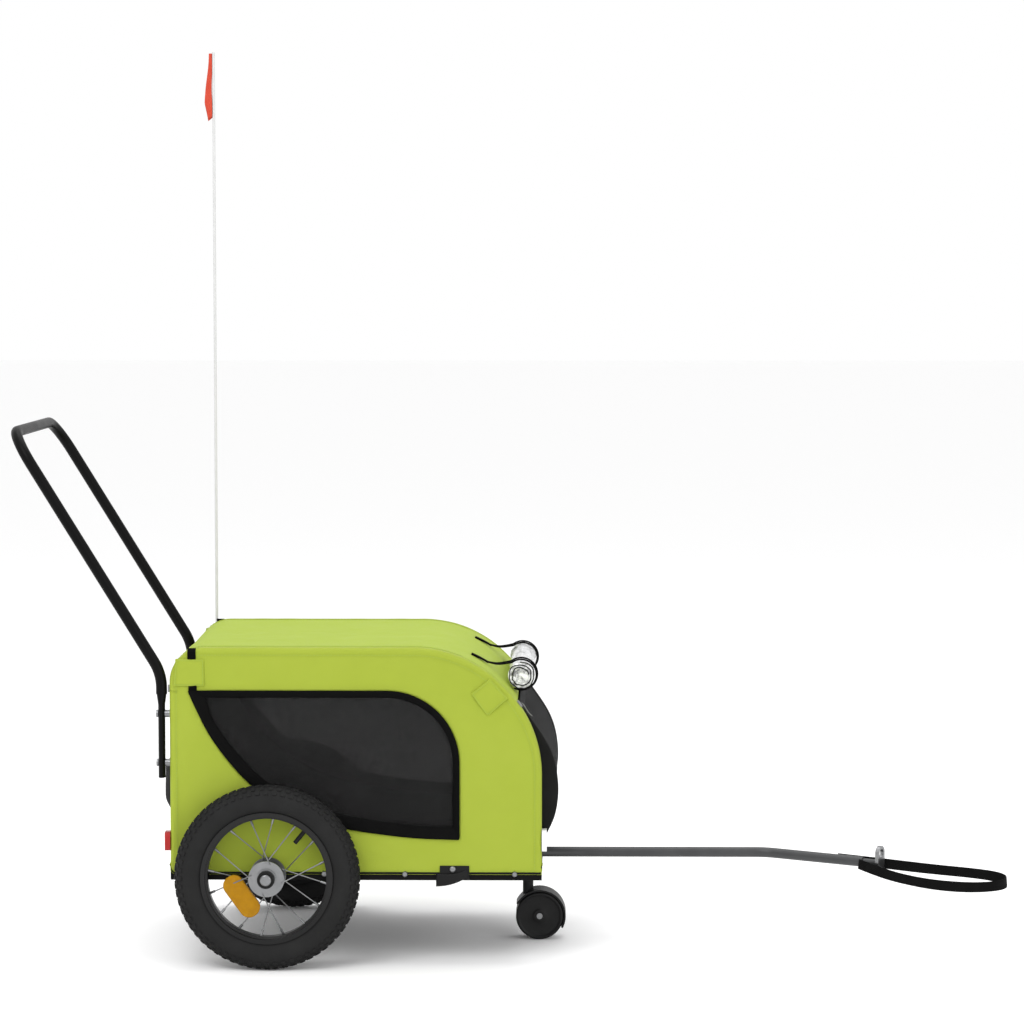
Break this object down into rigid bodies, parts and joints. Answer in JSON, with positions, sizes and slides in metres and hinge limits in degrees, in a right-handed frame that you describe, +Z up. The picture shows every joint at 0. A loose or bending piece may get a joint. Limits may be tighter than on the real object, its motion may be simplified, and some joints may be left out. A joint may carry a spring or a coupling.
{
  "type": "bicycle trailer",
  "caption": "Low enclosed bicycle trailer: tube frame, zipped fabric cabin with mesh windows, spoked wheels, front swivel caster, push handle, offset tow arm and safety flag.",
  "frame": {"origin": "on the ground, under the middle of the trailer's outline without its safety strap", "axes": "+X forward towards the bicycle, +Y to the trailer's left, +Z up"},
  "size_m": [1.629, 0.6096, 1.506],
  "materials": {
    "frame_black": "satin black powder coat",
    "arm_grey": "satin dark silver coat",
    "steel": "zinc plated",
    "cover_green": "coated woven polyester, lime green",
    "roof_green": "coated woven polyester, paler lime green",
    "window_mesh": "black net in a black binding",
    "floor": "black board",
    "clear_vinyl": "clear soft sheet, rolled",
    "webbing_black": "woven black",
    "tyre_black": "moulded rubber",
    "tube_black": "plain",
    "rim_black": "gloss black",
    "cap_black": "moulded",
    "lens_amber": "moulded prism lens",
    "lens_red": "moulded prism lens",
    "lens_clear": "moulded prism lens",
    "caster_black": "moulded",
    "pole_white": "glass fibre rod",
    "flag_orange": "thin woven flag"
  },
  "bodies": {
    "chassis": {"right_base_rail": "frame_black", "left_base_rail": "frame_black", "cross_tubes": "frame_black", "floor_board": "floor", "right_side_hoop": "frame_black", "left_side_hoop": "frame_black", "roof_bars": "frame_black", "right_side_panel": "cover_green", "left_side_panel": "cover_green", "right_window": "window_mesh", "left_window": "window_mesh", "roof_panel": "roof_green", "end_skirts": "cover_green", "rain_cover_roll": "clear_vinyl", "roll_ties": "webbing_black", "push_handle": "frame_black", "handle_bolts": "steel", "rail_bolts": "frame_black", "rail_clips": "cap_black", "tow_socket": "frame_black", "lock_pin_spring": "steel", "tow_arm": "arm_grey", "tow_eye": "steel", "safety_strap": "webbing_black", "caster_socket": "frame_black", "caster_bushes": "caster_black", "flag_sleeve": "webbing_black", "rear_reflectors": "lens_red", "front_reflectors": "lens_clear", "zip_sliders": "steel", "right_axle_receiver": "frame_black", "right_axle": "cap_black", "left_axle_receiver": "frame_black", "left_axle": "cap_black"},
    "right_wheel": {"right_tyre": "tyre_black", "right_inner_tube": "tube_black", "right_rim": "rim_black", "right_spokes": "steel", "right_hub": "steel", "right_hub_bearings": "steel", "right_wheel_reflector": "lens_amber"},
    "right_release": {"right_release_button": "steel"},
    "left_wheel": {"left_tyre": "tyre_black", "left_inner_tube": "tube_black", "left_rim": "rim_black", "left_spokes": "steel", "left_hub": "steel", "left_hub_bearings": "steel", "left_wheel_reflector": "lens_amber"},
    "left_release": {"left_release_button": "steel"},
    "caster_yoke": {"caster_fork": "caster_black"},
    "caster_roller": {"caster_wheels": "caster_black", "caster_axle": "steel"},
    "lock_pin": {"tow_lock_pin": "steel"},
    "front_flap": {"front_door": "window_mesh"},
    "rear_flap": {"rear_door": "window_mesh", "rear_pocket": "webbing_black"},
    "flag_staff": {"flag_pole": "pole_white", "flag": "flag_orange"}
  },
  "joints": [
    {"name": "right_wheel_spin", "type": "hinge", "parent": "chassis", "child": "right_wheel", "pos_m": [-0.295, -0.27, 0.15], "axis": [0, 1, 0], "continuous": true},
    {"name": "left_wheel_spin", "type": "hinge", "parent": "chassis", "child": "left_wheel", "pos_m": [-0.295, 0.27, 0.15], "axis": [0, 1, 0], "continuous": true},
    {"name": "right_release_press", "type": "slide", "parent": "chassis", "child": "right_release", "axis": [0, 1, 0], "range_m": [0, 0.003], "stiffness_N_per_m": 800, "springref_m": -0.001},
    {"name": "left_release_press", "type": "slide", "parent": "chassis", "child": "left_release", "axis": [0, -1, 0], "range_m": [0, 0.003], "stiffness_N_per_m": 800, "springref_m": -0.001},
    {"name": "caster_swivel", "type": "hinge", "parent": "chassis", "child": "caster_yoke", "pos_m": [0.124, 0, 0.11], "axis": [0, 0, 1], "continuous": true},
    {"name": "caster_wheel_spin", "type": "hinge", "parent": "caster_yoke", "child": "caster_roller", "pos_m": [0.1435, 0, 0.04], "axis": [0, 1, 0], "continuous": true},
    {"name": "lock_pin_pull", "type": "slide", "parent": "chassis", "child": "lock_pin", "axis": [0, 0, -1], "range_m": [0, 0.007], "stiffness_N_per_m": 500, "springref_m": -0.008, "deforming": ["lock_pin_spring"]},
    {"name": "front_door_open", "type": "hinge", "parent": "chassis", "child": "front_flap", "pos_m": [0.15, 0, 0.202], "axis": [0, 1, 0], "range_deg": [0, 90]},
    {"name": "rear_door_open", "type": "hinge", "parent": "chassis", "child": "rear_flap", "pos_m": [-0.455, 0, 0.172], "axis": [0, -1, 0], "range_deg": [0, 90]},
    {"name": "flag_lift", "type": "slide", "parent": "chassis", "child": "flag_staff", "axis": [0, 0, 1], "range_m": [0, 0.165]}
  ]
}
